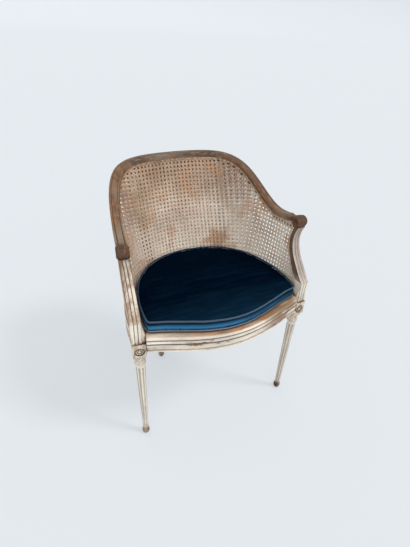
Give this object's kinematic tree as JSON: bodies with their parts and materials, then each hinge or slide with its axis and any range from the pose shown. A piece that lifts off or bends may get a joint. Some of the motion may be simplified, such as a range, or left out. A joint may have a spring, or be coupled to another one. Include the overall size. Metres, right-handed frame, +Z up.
{
  "type": "caned desk armchair",
  "caption": "Low barrel-backed wooden desk armchair with double caned back and sides, scrolled arms, fluted round legs, a bowed seat rail and a loose velvet box cushion.",
  "frame": {"origin": "on the floor under the middle of the chair's overall box", "axes": "+Z up, the sitter faces -Y, +X is the chair's right side as seen from the front (the sitter's left)"},
  "size_m": [0.5694, 0.5536, 0.792],
  "materials": {
    "painted_wood": "worn cream paint over brown wood, satin",
    "worn_wood": "rubbed mid-brown wood with remains of grey paint, satin",
    "bare_wood": "bare beech, matt",
    "cane": "woven natural rattan cane, satin",
    "binding_cane": "flat rattan binding strip, satin",
    "velvet": "navy cotton velvet with a soft sheen",
    "velvet_cord": "navy velvet cut over piping cord"
  },
  "bodies": {
    "frame": {"front_leg_left": "painted_wood", "front_leg_right": "painted_wood", "rear_post_left": "painted_wood", "rear_post_right": "painted_wood", "front_rail": "painted_wood", "side_rail_left": "painted_wood", "side_rail_right": "painted_wood", "back_rail": "painted_wood", "rail_pegs": "bare_wood", "crest_rail": "worn_wood", "arm_rail_left": "worn_wood", "arm_rail_right": "worn_wood", "crest_dowels": "bare_wood", "arm_support_left": "painted_wood", "arm_support_right": "painted_wood", "arm_dowels_left": "bare_wood", "arm_dowels_right": "bare_wood", "cane_inner": "cane", "cane_outer": "cane", "binding_inner": "binding_cane", "binding_outer": "binding_cane", "seat_cane": "cane", "seat_binding": "binding_cane"},
    "cushion": {"cushion_pad": "velvet", "cushion_welt_top": "velvet_cord", "cushion_welt_bottom": "velvet_cord"}
  },
  "joints": [
    {"name": "cushion_lift", "type": "slide", "parent": "frame", "child": "cushion", "axis": [0, 0, 1], "range_m": [0, 0.36]}
  ]
}
